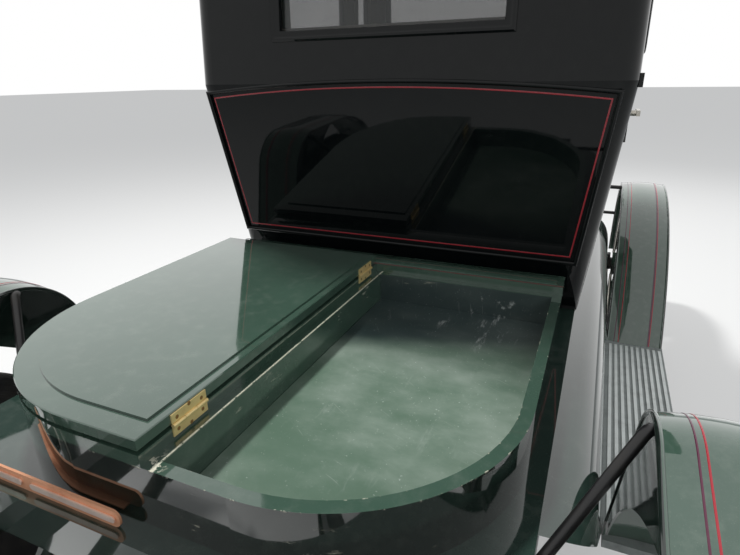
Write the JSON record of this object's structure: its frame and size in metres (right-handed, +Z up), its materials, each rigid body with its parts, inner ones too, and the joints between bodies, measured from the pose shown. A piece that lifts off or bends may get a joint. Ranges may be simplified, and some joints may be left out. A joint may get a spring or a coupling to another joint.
{
  "type": "antique electric brougham",
  "caption": "Tall closed electric town car with a short front hood and a round tailed rear deck, its split lid folded open, on wooden spoked wheels.",
  "frame": {"origin": "on the ground, on the centre line, halfway between the axles", "axes": "+X forward, +Y to the car's left, +Z up"},
  "size_m": [3.4858, 1.69, 2.1498],
  "materials": {
    "tyre": "matt rubber",
    "wheel_wood": "gloss painted wood",
    "chassis_black": "satin black",
    "board_metal": "worn ribbed",
    "deck_green": "gloss, dark green",
    "brass": "polished",
    "copper": "copper coloured, worn",
    "body_black": "high gloss, near black",
    "glass": "clear",
    "lamp_black": "gloss black",
    "seat_cloth": "buttoned cloth",
    "seat_wood": "dark stained"
  },
  "bodies": {
    "root": {"front_axle": "chassis_black", "rear_axle": "chassis_black", "leaf_springs": "chassis_black", "chassis_frame": "chassis_black", "drive_motor": "chassis_black", "fender_braces": "chassis_black", "battery_blocks": "chassis_black", "tiller_column": "chassis_black", "door_hinges": "chassis_black", "running_boards": "board_metal", "rear_deck_top": "deck_green", "rear_deck_box": "deck_green", "deck_tray": "deck_green", "rear_pan": "deck_green", "splash_aprons": "deck_green", "rear_fender_left": "deck_green", "rear_fender_right": "deck_green", "front_fender_left": "deck_green", "front_fender_right": "deck_green", "front_hood": "deck_green", "deck_hinge_fixed": "brass", "plate_bracket": "copper", "cab_rear_body": "body_black", "cab_front_body": "body_black", "cab_floor": "body_black", "cab_upper_frame": "body_black", "cab_roof": "body_black", "belt_moulding": "body_black", "window_glass": "glass", "headlamp_lenses": "glass", "lamps": "lamp_black", "seat_cushion": "seat_cloth", "seat_back": "seat_cloth", "seat_frame": "seat_wood"},
    "front_left_wheel": {"tyre_front_left": "tyre", "wheel_front_left": "wheel_wood"},
    "front_right_wheel": {"tyre_front_right": "tyre", "wheel_front_right": "wheel_wood"},
    "rear_left_wheel": {"tyre_rear_left": "tyre", "wheel_rear_left": "wheel_wood"},
    "rear_right_wheel": {"tyre_rear_right": "tyre", "wheel_rear_right": "wheel_wood"},
    "left_knuckle": {"steering_knuckle_left": "chassis_black"},
    "right_knuckle": {"steering_knuckle_right": "chassis_black"},
    "tie_rod": {"tie_rod": "chassis_black"},
    "left_door": {"door_left": "body_black", "door_glass_left": "glass"},
    "right_door": {"door_right": "body_black", "door_glass_right": "glass"},
    "rear_lid": {"deck_lid": "deck_green", "deck_hinge_moving": "brass"},
    "hood_cover": {"hood_lid": "deck_green"},
    "tiller": {"tiller": "chassis_black"}
  },
  "joints": [
    {"name": "left_steer", "type": "hinge", "parent": "root", "child": "left_knuckle", "pos_m": [1.27, 0.6, 0.381], "axis": [0, 0, 1], "range_deg": [-30, 30]},
    {"name": "front_left_roll", "type": "hinge", "parent": "left_knuckle", "child": "front_left_wheel", "pos_m": [1.27, 0.711, 0.381], "axis": [0, 1, 0], "continuous": true},
    {"name": "rear_left_roll", "type": "hinge", "parent": "root", "child": "rear_left_wheel", "pos_m": [-1.27, 0.711, 0.381], "axis": [0, 1, 0], "continuous": true},
    {"name": "left_door_swing", "type": "hinge", "parent": "root", "child": "left_door", "pos_m": [0.65, 0.604, 1.325], "axis": [0, 0, -1], "range_deg": [0, 75]},
    {"name": "right_steer", "type": "hinge", "parent": "root", "child": "right_knuckle", "pos_m": [1.27, -0.6, 0.381], "axis": [0, 0, 1], "range_deg": [-30, 30]},
    {"name": "front_right_roll", "type": "hinge", "parent": "right_knuckle", "child": "front_right_wheel", "pos_m": [1.27, -0.711, 0.381], "axis": [0, 1, 0], "continuous": true},
    {"name": "rear_right_roll", "type": "hinge", "parent": "root", "child": "rear_right_wheel", "pos_m": [-1.27, -0.711, 0.381], "axis": [0, 1, 0], "continuous": true},
    {"name": "right_door_swing", "type": "hinge", "parent": "root", "child": "right_door", "pos_m": [0.65, -0.604, 1.325], "axis": [0, 0, 1], "range_deg": [0, 75]},
    {"name": "tie_rod_swing", "type": "hinge", "parent": "left_knuckle", "child": "tie_rod", "pos_m": [1.12, 0.6, 0.335], "axis": [0, 0, 1], "range_deg": [-30, 30]},
    {"name": "lid_fold", "type": "hinge", "parent": "root", "child": "rear_lid", "pos_m": [-0.85, -0.0025, 0.859], "axis": [1, 0, 0], "range_deg": [0, 180]},
    {"name": "hood_lift", "type": "hinge", "parent": "root", "child": "hood_cover", "pos_m": [0.955, 0, 0.947], "axis": [0, -1, 0], "range_deg": [0, 70]},
    {"name": "tiller_swing", "type": "hinge", "parent": "root", "child": "tiller", "pos_m": [0.33, 0.3, 1.082], "axis": [0, 0, 1], "range_deg": [-40, 40]}
  ],
  "couplings": [
    {"joint": "left_steer", "follows": "tiller_swing", "ratio": 0.75},
    {"joint": "right_steer", "follows": "tiller_swing", "ratio": 0.75},
    {"joint": "tie_rod_swing", "follows": "tiller_swing", "ratio": -0.75}
  ]
}
